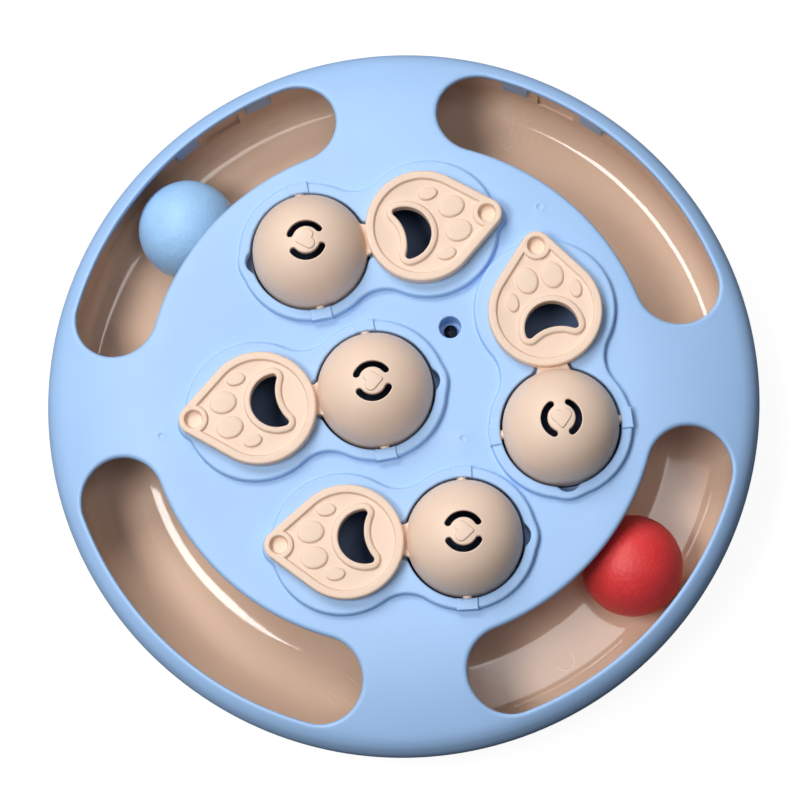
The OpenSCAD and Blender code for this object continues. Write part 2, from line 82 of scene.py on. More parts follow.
SCREW_X, SCREW_Y, BORE_R, SEAT, SEAT_T = 19.2, 21.5, 3.95, 38.0, 2.4
TRACK_MID, TRACK_IN, TRACK_OUT, TRAY_WALL, TRACK_FLOOR = 103.4, 81.6, 125.2, 2.2, 4.2
CORNER_IN, CORNER_OUT = 19.0, 10.0
BALL_R = 18.5
FOOT_R, FOOT_LIFT, FOOT_SINK = 7.0, 2.0, 0.8

# Angles of the windows and feet and of the snaps, and places of the screw and the feet
QUARTERS = [math.radians(45 + 90 * k) for k in range(4)]
SNAPS = [math.radians(60 * k) for k in range(6)]
SCREW_PLACE = Matrix.Translation((SCREW_X, SCREW_Y, 0))
FOOT_PLACES = [Matrix.Translation((TRACK_MID * math.cos(at), TRACK_MID * math.sin(at), 0)) for at in QUARTERS]

# Stations: place of each lid's hinge and the way its paw points
stations = {}
for joint in frame["joints"]:
    if joint["name"].startswith("lid_"):
        axis = joint["axis"]
        stations[joint["name"][:-5]] = (joint["pos_m"][0] / MM, joint["pos_m"][1] / MM,
                                        math.atan2(axis[0], -axis[1]))


# Distances to plan shapes, negative inside, with a margin round an outline and a height for no solid
HAIR, FAR_BELOW = 0.05, -50.0


def disc(x, y, cx, cy, r):
    return np.hypot(x - cx, y - cy) - r


def join_soft(a, b, k):
    """The smaller of two distances, blended over a width k."""
    h = np.clip(0.5 + 0.5 * (b - a) / k, 0, 1)
    return b + (a - b) * h - k * h * (1 - h)


def drop_shape(x, y, r0, r1, d):
    """Two circles joined by tangents, the first at the origin and the second at +X."""
    y = np.abs(y)
    b = (r0 - r1) / d
    a = math.sqrt(1 - b * b)
    k = a * x - b * y
    side = b * x + a * y - r0
    return np.where(k < 0, np.hypot(x, y) - r0, np.where(k > a * d, np.hypot(x - d, y) - r1, side))


def eight_shape(x, y, r0, r1, d, f):
    """Two circles joined by concave arcs."""
    y = np.abs(y)
    cx = (d * d + (r0 + f) ** 2 - (r1 + f) ** 2) / (2 * d)
    cy = math.sqrt((r0 + f) ** 2 - cx * cx)
    in_waist = (x * cy - y * cx > 0) & ((x - d) * cy - y * (cx - d) < 0) & (y < cy)
    lobes = np.minimum(np.hypot(x, y) - r0, np.hypot(x - d, y) - r1)
    return np.where(in_waist, f - np.hypot(x - cx, y - cy), lobes)


def bent_slot(x, y, mid, half_w, half_a, at):
    """Slot bent round the origin, with round ends."""
    a = np.arctan2(y, x) - at
    a = (a + math.pi) % (2 * math.pi) - math.pi
    r = np.hypot(x, y)
    a_off = a - np.clip(a, -half_a, half_a)
    return np.hypot(r * np.cos(a_off) - mid, r * np.sin(a_off)) - half_w


def oval(x, y, cx, cy, a, b):
    u, v = (x - cx) / a, (y - cy) / b
    k0 = np.hypot(u, v)
    k1 = np.maximum(np.hypot(u / a, v / b), TINY)
    return np.maximum(k0 * (k0 - 1) / k1, -min(a, b))


def smooth(e0, e1, v):
    t = np.clip((v - e0) / (e1 - e0), 0, 1)
    return t * t * (3 - 2 * t)


def edge_drop(d, r):
    """How far a rounded edge of radius r lies below the flat, at distance d from the wall."""
    t = np.clip(r - d, 0, r)
    return r - np.sqrt(np.maximum(r * r - t * t, 0))


def edge_steps(r, n=6):
    """Distances from the wall at which a rounded edge gets its loops, and one on the flat beyond."""
    return [r * (1 - math.sin(math.pi / 2 * i / n)) for i in range(n, -1, -1)] + [r * 1.25]


# Outlines of plan shapes
NEWTON_STEPS, NEWTON_PROBE, NEWTON_REACH, LEAST_SLOPE = 4, 1e-3, 0.5, 0.05


def contour(shape, level, box, step, spacing):
    """Closed outlines of a plan shape at a distance, by marching squares and Newton steps."""
    xs = np.arange(box[0], box[2] + step, step)
    ys = np.arange(box[1], box[3] + step, step)
    gx, gy = np.meshgrid(xs, ys, indexing="ij")
    g = shape(gx, gy) - level
    inside = g < 0
    links = {}

    def crossing(i, j, k, m):
        t = g[i, j] / (g[i, j] - g[k, m])
        return (xs[i] + t * (xs[k] - xs[i]), ys[j] + t * (ys[m] - ys[j]))

    mixed = inside[:-1, :-1].astype(int) + inside[1:, :-1] + inside[:-1, 1:] + inside[1:, 1:]
    places = {}
    for i, j in zip(*np.where((mixed > 0) & (mixed < 4))):
        ring = [(i, j), (i + 1, j), (i + 1, j + 1), (i, j + 1)]
        cuts = []
        for a, b in zip(ring, ring[1:] + ring[:1]):
            if inside[a] != inside[b]:
                key = (min(a, b), max(a, b))
                places[key] = crossing(*a, *b)
                cuts.append(key)
        for a, b in zip(cuts[::2], cuts[1::2]):
            links.setdefault(a, []).append(b)
            links.setdefault(b, []).append(a)
    loops = []
    free = set(links)
    while free:
        first = min(free)
        loop, here = [], first
        while here in free:
            free.discard(here)
            loop.append(places[here])
            ahead = [k for k in links[here] if k in free]
            here = ahead[0] if ahead else None
        loop = settle(shape, level, np.array(loop))
        closed = np.vstack([loop, loop[:1]])
        run = np.concatenate([[0], np.cumsum(np.hypot(*np.diff(closed, axis=0).T))])
        n = max(8, int(round(run[-1] / spacing)))
        t = np.arange(n) * run[-1] / n
        loop = np.c_[np.interp(t, run, closed[:, 0]), np.interp(t, run, closed[:, 1])]
        loops.append(settle(shape, level, loop))
    return loops


def settle(shape, level, p):
    """Points moved on to the outline by Newton steps."""
    e = NEWTON_PROBE
    for _ in range(NEWTON_STEPS):
        x, y = p[:, 0], p[:, 1]
        v = shape(x, y) - level
        gx = (shape(x + e, y) - shape(x - e, y)) / (2 * e)
        gy = (shape(x, y + e) - shape(x, y - e)) / (2 * e)
        n = np.maximum(gx * gx + gy * gy, LEAST_SLOPE)
        p = p - np.clip(v / n, -NEWTON_REACH, NEWTON_REACH)[:, None] * np.c_[gx, gy]
    return p


def contours(shape, levels, box, step, spacing):
    return [loop for level in levels for loop in contour(shape, level, box, step, spacing)]


def circle(cx, cy, r, n):
    t = np.arange(n) * 2 * math.pi / n
    return np.c_[cx + r * np.cos(t), cy + r * np.sin(t)]


# Mesh makers: each gives an array of points in millimetres and a list of faces
MERGE, SLIVER, SHARP = 1e-4, 1e-7, math.radians(38)


def plate(loops, lines, keep, top, bottom):
    """Closed plate over a plan: a triangulated top and bottom, and walls where the plan ends."""
    points, edges = [], []
    for run, closed in [(p, True) for p in loops] + [(p, False) for p in lines]:
        k, n = len(points), len(run)
        points.extend(Vector((float(a), float(b))) for a, b in run)
        edges.extend((k + i, k + i + 1) for i in range(n - 1))
        if closed:
            edges.append((k + n - 1, k))
    made = delaunay_2d_cdt(points, edges, [], 0, MERGE)
    flat = np.array([(p[0], p[1]) for p in made[0]])
    tri = np.array([tuple(f) for f in made[2]])
    a, b, c = flat[tri[:, 0]], flat[tri[:, 1]], flat[tri[:, 2]]
    area = (b[:, 0] - a[:, 0]) * (c[:, 1] - a[:, 1]) - (b[:, 1] - a[:, 1]) * (c[:, 0] - a[:, 0])
    tri = np.where((area < 0)[:, None], tri[:, ::-1], tri)
    mid = (a + b + c) / 3
    tri = tri[keep(mid[:, 0], mid[:, 1]) & (np.abs(area) > SLIVER)]
    used = np.unique(tri)
    place = np.full(len(flat), -1)
    place[used] = np.arange(len(used))
    flat, tri = flat[used], place[tri]
    n = len(flat)
    x, y = flat[:, 0], flat[:, 1]
    verts = np.vstack([np.c_[x, y, top(x, y)], np.c_[x, y, bottom(x, y)]])
    faces = [tuple(t) for t in tri] + [tuple(t[::-1] + n) for t in tri]
    sides = {(t[i], t[(i + 1) % 3]) for t in tri.tolist() for i in range(3)}
    faces += [(b, a, a + n, b + n) for a, b in sorted(sides) if (b, a) not in sides]
    return verts, faces


def ring_faces(profile, n):
    """Faces between n copies of a closed profile set round the Z axis."""
    m, faces = len(profile), []
    for k in range(n):
        after = (k + 1) % n
        for i in range(m):
            j = (i + 1) % m
            axis_i, axis_j = profile[i][0] < TINY, profile[j][0] < TINY
            if axis_i and axis_j:
                continue
            quad = [k * m + i, after * m + i, after * m + j, k * m + j]
            if axis_i:
                quad = [i, quad[2], quad[3]]
            elif axis_j:
                quad = [quad[0], quad[1], j]
            faces.append(tuple(quad))
    return faces


def lathe(profile, n):
    """Closed solid of revolution about Z from a closed counter-clockwise line of (radius, height)."""
    verts = [(r * math.cos(a), r * math.sin(a), z)
             for a in (2 * math.pi * k / n for k in range(n)) for r, z in profile]
    return np.array(verts), ring_faces(profile, n)


def rounded_box(size, r, n=3):
    """Box with rounded edges, standing on the origin's plane at its lowest face's middle."""
    steps = [math.pi / 2 * i / n for i in range(n + 1)]
    half = [size[0] / 2, size[1] / 2]
    outline = []
    for sx, sy, a0 in ((1, 1, 0), (-1, 1, 90), (-1, -1, 180), (1, -1, 270)):
        for a in steps:
            t = math.radians(a0) + a
            outline.append((sx * (half[0] - r), sy * (half[1] - r), math.cos(t), math.sin(t)))
    rings = [(max(r * math.sin(a), HAIR), r - r * math.cos(a)) for a in steps]
    rings += [(max(r * math.cos(a), HAIR), size[2] - r + r * math.sin(a)) for a in steps]
    verts = [(cx + k * ox, cy + k * oy, z) for k, z in rings for cx, cy, ox, oy in outline]
    m = len(outline)
    faces = [(i * m + j, i * m + (j + 1) % m, (i + 1) * m + (j + 1) % m, (i + 1) * m + j)
             for i in range(len(rings) - 1) for j in range(m)]
    faces += [tuple(range(m))[::-1], tuple(range((len(rings) - 1) * m, len(rings) * m))]
    return np.array(verts), faces


def moved(shell, matrix):
    verts, faces = shell
    m = np.array(matrix)
    return verts @ m[:3, :3].T + m[:3, 3], faces


def drop_loose(mesh):
    """Deletes the points that no face uses."""
    work = bmesh.new()
    work.from_mesh(mesh)
    bmesh.ops.delete(work, geom=[v for v in work.verts if not v.link_faces], context="VERTS")
    work.to_mesh(mesh)
    work.free()


def mesh_of(name, shells):
    verts, faces = [], []
    for v, f in shells:
        k = sum(len(p) for p in verts)
        verts.append(v)
        faces += [tuple(int(i) + k for i in face) for face in f]
    mesh = bpy.data.meshes.new(name)
    mesh.from_pydata((np.vstack(verts) * MM).tolist(), [], faces)
    mesh.validate()
    drop_loose(mesh)
    mesh.polygons.foreach_set("use_smooth", [True] * len(mesh.polygons))
    mesh.set_sharp_from_angle(angle=SHARP)
    mesh.update()
    return mesh


def piece(name, mesh, material, body, node, place=None):
    """Adds a piece that rides on a body and takes the place of a CAD node."""
    obj = bpy.data.objects.new(name, mesh)
    scene.collection.objects.link(obj)
    if not mesh.materials:
        mesh.materials.append(material)
    if place is not None:
        obj.matrix_world = place
        bpy.context.view_layer.update()
    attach(obj, body)
    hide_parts(node)


# Materials
class Nodes:
    """Small helper that adds shader nodes and links them."""

    def __init__(self, name):
        self.material = bpy.data.materials.new(name)
        self.material.use_nodes = True
        self.tree = self.material.node_tree
        self.shader = self.tree.nodes["Principled BSDF"]
        self.coords = self.tree.nodes.new("ShaderNodeTexCoord").outputs["Object"]

    def add(self, kind, inputs=None, **settings):
        node = self.tree.nodes.new(kind)
        for key, value in settings.items():
            setattr(node, key, value)
        for key, value in (inputs or {}).items():
            self.put(node.inputs[key], value)
        return node

    def put(self, socket, value):
        if isinstance(value, bpy.types.NodeSocket):
            self.tree.links.new(value, socket)
        else:
            socket.default_value = value

    def noise(self, scale, detail=3.0, rough=0.55, where=None):
        inputs = {"Vector": where or self.coords, "Scale": scale, "Detail": detail, "Roughness": rough}
        return self.add("ShaderNodeTexNoise", inputs).outputs["Fac"]

    def ramp(self, value, low, high, out_low, out_high):
        inputs = {"Value": value, "From Min": low, "From Max": high, "To Min": out_low, "To Max": out_high}
        return self.add("ShaderNodeMapRange", inputs).outputs["Result"]

    def mix(self, factor, a, b):
        node = self.add("ShaderNodeMix", data_type="RGBA")
        self.put(node.inputs[0], factor)
        self.put(node.inputs[6], a)
        self.put(node.inputs[7], b)
        return node.outputs[2]

    def math(self, operation, a, b):
        return self.add("ShaderNodeMath", {0: a, 1: b}, operation=operation).outputs[0]

    def vector(self, operation, a, b):
        return self.add("ShaderNodeVectorMath", {0: a, 1: b}, operation=operation).outputs

    def joined(self, **axes):
        return self.add("ShaderNodeCombineXYZ", axes).outputs[0]

    def away(self, x, y):
        """Distance in plan from a place on the piece."""
        there = self.joined(X=x, Y=y)
        flat = self.vector("MULTIPLY", self.coords, (1.0, 1.0, 0.0))[0]
        return self.vector("DISTANCE", flat, there)["Value"]

    def bump(self, height, strength, distance):
        inputs = {"Height": height, "Strength": strength, "Distance": distance}
        return self.add("ShaderNodeBump", inputs).outputs["Normal"]

    def set(self, **values):
        for key, value in values.items():
            self.put(self.shader.inputs[key.replace("_", " ")], value)


def tone(colour, k):
    return tuple(c * k for c in colour[:3]) + (1.0,)


def moulded(name, colour, rough, grain=2600.0, specular=0.4):
    """Satin injection-moulded plastic: fine spark-eroded grain, faint flow clouds, a few scuffs."""
    m = Nodes(name)
    cloud = m.ramp(m.noise(14.0, 4.0), 0.3, 0.7, 0.0, 1.0)
    body = m.mix(cloud, tone(colour, 0.965), tone(colour, 1.03))
    fine = m.noise(grain, 2.0)
    specks = m.ramp(m.noise(900.0, 1.0), 0.735, 0.76, 0.0, 0.35)
    body = m.mix(specks, body, tone(colour, 0.80))
    scuff = m.noise(60.0, 6.0, 0.7)
    m.set(Base_Color=body, Roughness=m.ramp(scuff, 0.3, 0.7, rough - 0.05, rough + 0.07),
          Specular_IOR_Level=specular, Normal=m.bump(fine, 0.12, 0.00004))
    return m.material


# Marks on the track, each round a place in plan, in metres: specks, hairs, and a ring of painted reflection
SPECKS_AT, SPECKS_REACH = (0.047, 0.104), (0.004, 0.014)
HAIRS_AT, HAIRS_REACH = (-0.029, -0.099), (0.004, 0.013)
# Lighter broken ring: a painted reflection on the track
GLINT_RING_AT, GLINT_RING_R, GLINT_RING_WIDTH = (0.054, -0.097), 0.0034, (0.0001, 0.0003)


def glossy_track(name, colour):
    """Polished moulding that balls have run on: smudges, fine scratches along the track, and a lighter broken
    ring that paints a reflection.
    """
    m = Nodes(name)
    x, y, z = m.add("ShaderNodeSeparateXYZ", {"Vector": m.coords}).outputs
    radius = m.math("SQRT", m.math("ADD", m.math("MULTIPLY", x, x), m.math("MULTIPLY", y, y)), 0.0)
    angle = m.math("ARCTAN2", y, x)
    along = m.joined(X=m.math("MULTIPLY", angle, 0.012), Y=radius, Z=z)
    scratch = m.ramp(m.noise(1500.0, 2.0, 0.6, along), 0.62, 0.72, 0.0, 1.0)
    smudge = m.noise(22.0, 5.0, 0.62)
    cloud = m.ramp(m.noise(9.0, 3.0), 0.3, 0.7, 0.0, 1.0)
    body = m.mix(cloud, tone(colour, 0.97), tone(colour, 1.03))
    body = m.mix(m.math("MULTIPLY", scratch, 0.16), body, tone(colour, 1.3))
    specks = m.ramp(m.noise(1300.0, 1.0), 0.64, 0.68, 0.0, 0.8)
    specks = m.math("MULTIPLY", specks, m.ramp(m.away(*SPECKS_AT), *SPECKS_REACH, 1.0, 0.0))
    slanted = m.joined(X=m.math("ADD", x, y), Y=m.math("MULTIPLY", x, 0.06))
    hairs = m.ramp(m.noise(900.0, 1.0, 0.5, slanted), 0.66, 0.70, 0.0, 0.7)
    hairs = m.math("MULTIPLY", hairs, m.ramp(m.away(*HAIRS_AT), *HAIRS_REACH, 1.0, 0.0))
    # Painted reflection: a lighter broken ring round a place on the track
    off_glint_ring = m.math("ABSOLUTE", m.math("SUBTRACT", m.away(*GLINT_RING_AT), GLINT_RING_R), 0.0)
    glint_ring_breaks = m.ramp(m.noise(160.0, 1.0), 0.44, 0.50, 0.0, 1.0)
    painted_glint_ring = m.math("MULTIPLY", m.ramp(off_glint_ring, *GLINT_RING_WIDTH, 0.6, 0.0), glint_ring_breaks)
    # The specks and hairs are marks on the track; the ring is painted reflection; all three are lightened
    # alike
    marks_and_painted_glint = m.math("MAXIMUM", m.math("MAXIMUM", specks, hairs), painted_glint_ring)
    body = m.mix(marks_and_painted_glint, body, tone(colour, 1.32))
    gloss = m.math("ADD", m.ramp(smudge, 0.35, 0.7, 0.06, 0.12), m.math("MULTIPLY", scratch, 0.10))
    relief = m.math("ADD", m.noise(70.0, 2.0), m.math("MULTIPLY", scratch, 0.2))
    m.set(Base_Color=body, Roughness=gloss, Specular_IOR_Level=0.5, Normal=m.bump(relief, 0.05, 0.0002))
    return m.material


def foam(name, colour, dark, light, grain):
    """Dense foam rubber: fine pores with painted shade in their bottoms, pale grit and a dry surface."""
    m = Nodes(name)
    cells = {"Vector": m.coords, "Scale": 620.0, "Randomness": 1.0}
    pores = m.add("ShaderNodeTexVoronoi", cells).outputs["Distance"]
    grit = m.noise(2000.0, 3.0, 0.7)
    cloud = m.ramp(m.noise(70.0, 4.0), 0.3, 0.7, 0.0, 1.0)
    body = m.mix(cloud, tone(colour, 0.93), tone(colour, 1.06))
    # Painted shade: the pores' bottoms darkened towards the dark tone
    body = m.mix(m.ramp(pores, 0.05, 0.3, 0.2, 0.0), body, tone(dark, 1.0))
    body = m.mix(m.ramp(grit, 0.5, 0.66, 0.0, grain), body, tone(light, 1.0))
    relief = m.math("ADD", pores, m.math("MULTIPLY", grit, 0.6))
    m.set(Base_Color=body, Roughness=m.ramp(grit, 0.3, 0.7, 0.40, 0.58), Specular_IOR_Level=0.5,
          Normal=m.bump(relief, 0.35, 0.0003))
    return m.material


def gritty(name, dark, light, cloud, cloud_low, grit, rough, bump, **constants):
    """Two clouded tones under a fine grit, for the screw's steel and the feet's rubber."""
    m = Nodes(name)
    fine = m.noise(*grit)
    clouds = m.ramp(m.noise(*cloud), cloud_low, 0.7, 0.0, 1.0)
    body = m.mix(clouds, tone(dark, 1.0), tone(light, 1.0))
    m.set(Base_Color=body, Roughness=m.ramp(fine, 0.3, 0.7, *rough), Normal=m.bump(fine, *bump), **constants)
    return m.material


COVER = moulded("cover_plastic", (0.370, 0.578, 0.900), 0.50, specular=0.6)
# Cup: dark blue plastic, darkened further to paint the shade in the wells and notches
SHADED_CUP = moulded("cup_plastic_painted_shade", (0.105, 0.165, 0.305), 0.48)
LID = moulded("lid_plastic", (0.860, 0.645, 0.500), 0.50, grain=2200.0, specular=0.6)
TRAY = glossy_track("track_plastic", (0.725, 0.510, 0.380))
# The second colour given to each foam is the painted shade in its pores
RED = foam("red_foam", (0.735, 0.032, 0.034), (0.52, 0.018, 0.020), (0.90, 0.16, 0.15), 0.35)
BLUE = foam("blue_foam", (0.36, 0.62, 0.95), (0.31, 0.54, 0.86), (0.62, 0.82, 1.0), 0.15)
STEEL = gritty("screw_steel", dark=(0.018, 0.019, 0.024), light=(0.05, 0.05, 0.055), cloud=(300.0, 3.0),
               cloud_low=0.35, grit=(1800.0, 3.0), rough=(0.3, 0.5), bump=(0.2, 0.0001), Metallic=0.85)
RUBBER = gritty("foot_rubber", dark=(0.032, 0.032, 0.034), light=(0.06, 0.06, 0.061), cloud=(120.0, 4.0),
                cloud_low=0.3, grit=(1500.0, 3.0), rough=(0.7, 0.9), bump=(0.3, 0.0002),
                Specular_IOR_Level=0.25)


# Cover: plan shapes in a station's own frame, u towards the paw and v across
BULGE_BLEND, NUB_BLEND, NOTCH_BLEND = 0.5, 1.2, 0.5
CHANNEL_START, CHANNEL_INSET, CHANNEL_BLEND, CHANNEL_DRAFT = 10.0, 0.9, 4.5, 0.5
CHANNEL_STEPS = [-0.1, -0.25, -0.4, -0.5, -0.7]
PAD_FOOT, PAD_DRAFT, PAD_ROUND, PAD_FOOT_RISE = 0.35, 0.2, 1.0, 0.25
PAD_STEPS = [-0.7, -0.35, -0.2, -0.08, 0.0, PAD_DRAFT / 2]
PAD_STEPS += [PAD_DRAFT + s for s in edge_steps(PAD_ROUND)]
HOLE_ROUND, CHANNEL_ROUND, WINDOW_ROUND, BORE_ROUND, SKIRT_ROUND = 0.7, 0.6, 1.6, 0.5, 0.5
SADDLE_FROM, SADDLE_LINE = HOLE - 2, HOLE - 1
STATION_BACK, STATION_FRONT, STATION_SIDE = -32, 78, 32
STATION_BOX = (-30, -30, 75, 30)

# Plan width of an upright step inside a plate
STEP = 0.03

# Windows, rim rings, gate marks, boss and tabs of the cover
WINDOW_MID, WINDOW_WIDE = (WINDOW_IN + WINDOW_OUT) / 2, (WINDOW_OUT - WINDOW_IN) / 2
RIM_SIN = (COVER_R - RIM_EDGE - FLAT_R) / (RIM_WIDE - RIM_EDGE)
RIM_RINGS = [FLAT_R, 84, 86.5, 89, 91.5, 95, 99, 103, 107, 111, 115, 119, 121.5]
RIM_RINGS += [COVER_R - RIM_EDGE + RIM_EDGE * math.sin(math.radians(a)) for a in range(26, 91, 8)]
RIM_RINGS += [COVER_R - d for d in (WALL + STEP, WALL, SKIRT_ROUND, 0.25, 0.07)]
GATES = [(54.0, 64.0), (-86.4, -12.2), (21.7, -19.2)]
GATE_DEPTH, GATE_RING = 0.28, 0.10
GATE_SIDE, RING_OUT, RING_IN = (1.25, 0.55), (1.9, 1.5), (1.1, 1.4)
GATE_STEPS = [0.35, 0.55, 0.75, 1.0, 1.25, 1.45, 1.7, 1.95]
BOSS_R, BOSS_HOLE, BOSS_CHAMFER, BOSS_LAP, SEAT_CHAMFER = BORE_R + 2, 1.5, 0.4, 0.4, 0.3
TAB_SIZE, TAB_ROUND, TAB_PITCH, TAB_R, TAB_Z = (10.0, 1.2, 13.0), 0.35, 15.9, 124.2, 23.5


def pad_shape(u, v):
    d = eight_shape(u, v, DOME_LOBE, PAW_LOBE, PITCH, WAIST)
    d = join_soft(d, disc(u, v, -BULGE_AT, 0, BULGE_R), BULGE_BLEND)
    return join_soft(d, disc(u, v, NUB_AT, 0, NUB_R), NUB_BLEND)


def hole_shape(u, v):
    return join_soft(disc(u, v, 0, 0, HOLE), disc(u, v, -NOTCH_AT, 0, NOTCH_R), NOTCH_BLEND)


def channel_shape(u, v):
    strip = np.maximum(np.abs(v) - CHANNEL_HALF, np.maximum(CHANNEL_START - u, u - CHANNEL_END))
    return join_soft(disc(u, v, 0, 0, HOLE - CHANNEL_INSET), strip, CHANNEL_BLEND)


def well_shape(u, v):
    return disc(u, v, PITCH, 0, WELL)


def pad_rise(s):
    """Height of the pad over the deck at a depth s inside its outline."""
    foot = PAD_FOOT_RISE * np.clip((s + PAD_FOOT) / PAD_FOOT, 0, 1) ** 2
    side = (PAD - PAD_ROUND - PAD_FOOT_RISE) * np.clip(s / PAD_DRAFT, 0, 1)
    cap = PAD_ROUND - edge_drop(s - PAD_DRAFT, PAD_ROUND)
    return foot + side + np.where(s > PAD_DRAFT, cap, 0)


def channel_sink(s):
    """How far the neck's channel lies below the pad at a depth s inside its outline."""
    lip = edge_drop(-s, CHANNEL_ROUND)
    floor = CHANNEL_ROUND + (CHANNEL_DEPTH - CHANNEL_ROUND) * smooth(0.0, CHANNEL_DRAFT, s)
    return np.where(s < 0, lip, floor)


def rim_line(r, inset=0.0):
    """Height of the cover's outer line, or of the line that lies inside it."""
    wide = DECK - RIM_WIDE + np.sqrt(np.maximum((RIM_WIDE - inset) ** 2 - np.maximum(r - FLAT_R, 0) ** 2, 0))
    edge = WIDEST + np.sqrt(np.maximum((RIM_EDGE - inset) ** 2 - (r - COVER_R + RIM_EDGE) ** 2, 0))
    joint = FLAT_R + (RIM_WIDE - inset) * RIM_SIN
    return np.where(r < joint, wide, edge)


def windows(x, y):
    return np.minimum.reduce([bent_slot(x, y, WINDOW_MID, WINDOW_WIDE, WINDOW_HALF, at) for at in QUARTERS])


def local(x, y, station):
    """A place on the cover in a station's frame."""
    sx, sy, turn = station
    c, s = math.cos(turn), math.sin(turn)
    return c * (x - sx) + s * (y - sy), -s * (x - sx) + c * (y - sy)


def world(points, station):
    """Points of a station's frame on the cover."""
    sx, sy, turn = station
    c, s = math.cos(turn), math.sin(turn)
    return np.c_[sx + c * points[:, 0] - s * points[:, 1], sy + s * points[:, 0] + c * points[:, 1]]


def saddle_top(u, v):
    """Height of the bars over the hinge pins, or far below elsewhere."""
    inside = np.minimum(SADDLE_HALF - np.abs(u), SADDLE_END - np.abs(v))
    top = DECK + PAD + SADDLE_RISE - edge_drop(inside, SADDLE_ROUND)
    return np.where((inside > -HAIR / 2) & (np.abs(v) > SADDLE_FROM), top, FAR_BELOW)


def cover_top(x, y):
    r = np.hypot(x, y)
    z = rim_line(r) - edge_drop(windows(x, y), WINDOW_ROUND)
    for station in stations.values():
        u, v = local(x, y, station)
        near = (u > STATION_BACK) & (u < STATION_FRONT) & (np.abs(v) < STATION_SIDE)
        top = z + pad_rise(-pad_shape(u, v)) - channel_sink(-channel_shape(u, v))
        top = np.maximum(top, saddle_top(u, v))
        top -= edge_drop(hole_shape(u, v), HOLE_ROUND) + edge_drop(well_shape(u, v), HOLE_ROUND)
        z = np.where(near, top, z)
    z -= edge_drop(disc(x, y, SCREW_X, SCREW_Y, BORE_R), BORE_ROUND)
    for gx, gy in GATES:
        d = np.hypot(x - gx, y - gy)
        ring = GATE_RING * smooth(*RING_OUT, d) * smooth(*RING_IN, d)
        z -= GATE_DEPTH * smooth(*GATE_SIDE, d) - ring
    return z


def cover_under(x, y):
    """Height of the cover's underside, which steps down to the skirt's lower edge at the wall."""
    r = np.hypot(x, y)
    inner = COVER_R - WALL
    z = np.where(r < inner - STEP / 3, rim_line(np.minimum(r, inner), WALL), SKIRT)
    return z + edge_drop(COVER_R - r, SKIRT_ROUND)


def cover_keep(x, y):
    """Where the cover is solid in plan."""
    ok = (windows(x, y) > 0) & (disc(x, y, SCREW_X, SCREW_Y, BORE_R) > 0) & (np.hypot(x, y) < COVER_R)
    for station in stations.values():
        u, v = local(x, y, station)
        ok &= (hole_shape(u, v) > 0) & (well_shape(u, v) > 0)
    return ok


def window_loop(at, d):
    """Outline of the window at an angle, grown by d."""
    outer, inner, end_r = WINDOW_MID + WINDOW_WIDE + d, WINDOW_MID - WINDOW_WIDE - d, WINDOW_WIDE + d
    side = np.linspace(-WINDOW_HALF, WINDOW_HALF, 64)
    turns = np.linspace(0, math.pi, 34)[1:-1]

    def end(e, first):
        return [(WINDOW_MID * math.cos(e) + end_r * math.cos(first + t),
                 WINDOW_MID * math.sin(e) + end_r * math.sin(first + t)) for t in turns]

    run = [(outer * math.cos(at + a), outer * math.sin(at + a)) for a in side]
    run += end(at + WINDOW_HALF, at + WINDOW_HALF)
    run += [(inner * math.cos(at + a), inner * math.sin(at + a)) for a in side[::-1]]
    run += end(at - WINDOW_HALF, at - WINDOW_HALF + math.pi)
    return np.array(run)


def station_runs():
    """Loops and open lines of one station, in its own frame."""
    box = STATION_BOX
    loops = contours(pad_shape, [-s for s in PAD_STEPS], box, 1.0, 1.3)
    loops += contours(hole_shape, edge_steps(HOLE_ROUND, 5), box, 1.0, 1.1)
    loops += contours(well_shape, edge_steps(HOLE_ROUND, 3), box, 1.0, 1.6)
    loops += contours(channel_shape, edge_steps(CHANNEL_ROUND, 5) + CHANNEL_STEPS, box, 0.7, 0.9)
    lines = []
    for sign in (-1, 1):
        for d in [-HAIR] + edge_steps(SADDLE_ROUND, 4):
            wide, far, near = SADDLE_HALF - d, sign * (SADDLE_END - d), sign * SADDLE_LINE
            lines.append(np.array([(-wide, near), (-wide, far), (wide, far), (wide, near)]))
    return loops, lines


def cover_mesh():
    loops = [circle(0, 0, r, 216) for r in RIM_RINGS]
    loops += [window_loop(at, d) for at in QUARTERS for d in edge_steps(WINDOW_ROUND)]
    lines = []
    station_loops, station_lines = station_runs()
    for station in stations.values():
        loops += [world(p, station) for p in station_loops]
        lines += [world(p, station) for p in station_lines]
    loops += [circle(SCREW_X, SCREW_Y, BORE_R + d, 48) for d in edge_steps(BORE_ROUND, 5)]
    for gx, gy in GATES:
        loops += [circle(gx, gy, r, 20) for r in GATE_STEPS]
    shells = [plate(loops, lines, cover_keep, cover_top, cover_under)]
    # boss under the counterbore
    low, top, cut = SEAT - SEAT_T, DECK - WALL + BOSS_LAP, BOSS_CHAMFER
    boss = [(BOSS_HOLE, low), (BOSS_R - cut, low), (BOSS_R, low + cut), (BOSS_R, top), (BORE_R, top),
            (BORE_R, SEAT + SEAT_CHAMFER), (BORE_R - SEAT_CHAMFER, SEAT), (BOSS_HOLE, SEAT)]
    shells.append(moved(lathe(boss, 48), SCREW_PLACE))
    # snap tabs inside the skirt
    for at in SNAPS:
        for side in (-1, 1):
            turn = at + side * 2 * math.asin(TAB_PITCH / (2 * TRACK_OUT))
            place = Matrix.Rotation(turn, 4, "Z") @ Matrix.Translation((TAB_R, 0, TAB_Z))
            place = place @ Matrix.Rotation(math.pi / 2, 4, "Z")
            shells.append(moved(rounded_box(TAB_SIZE, TAB_ROUND), place))
    return mesh_of("cover", shells)


piece("cover", cover_mesh(), COVER, "housing", "top_cover")


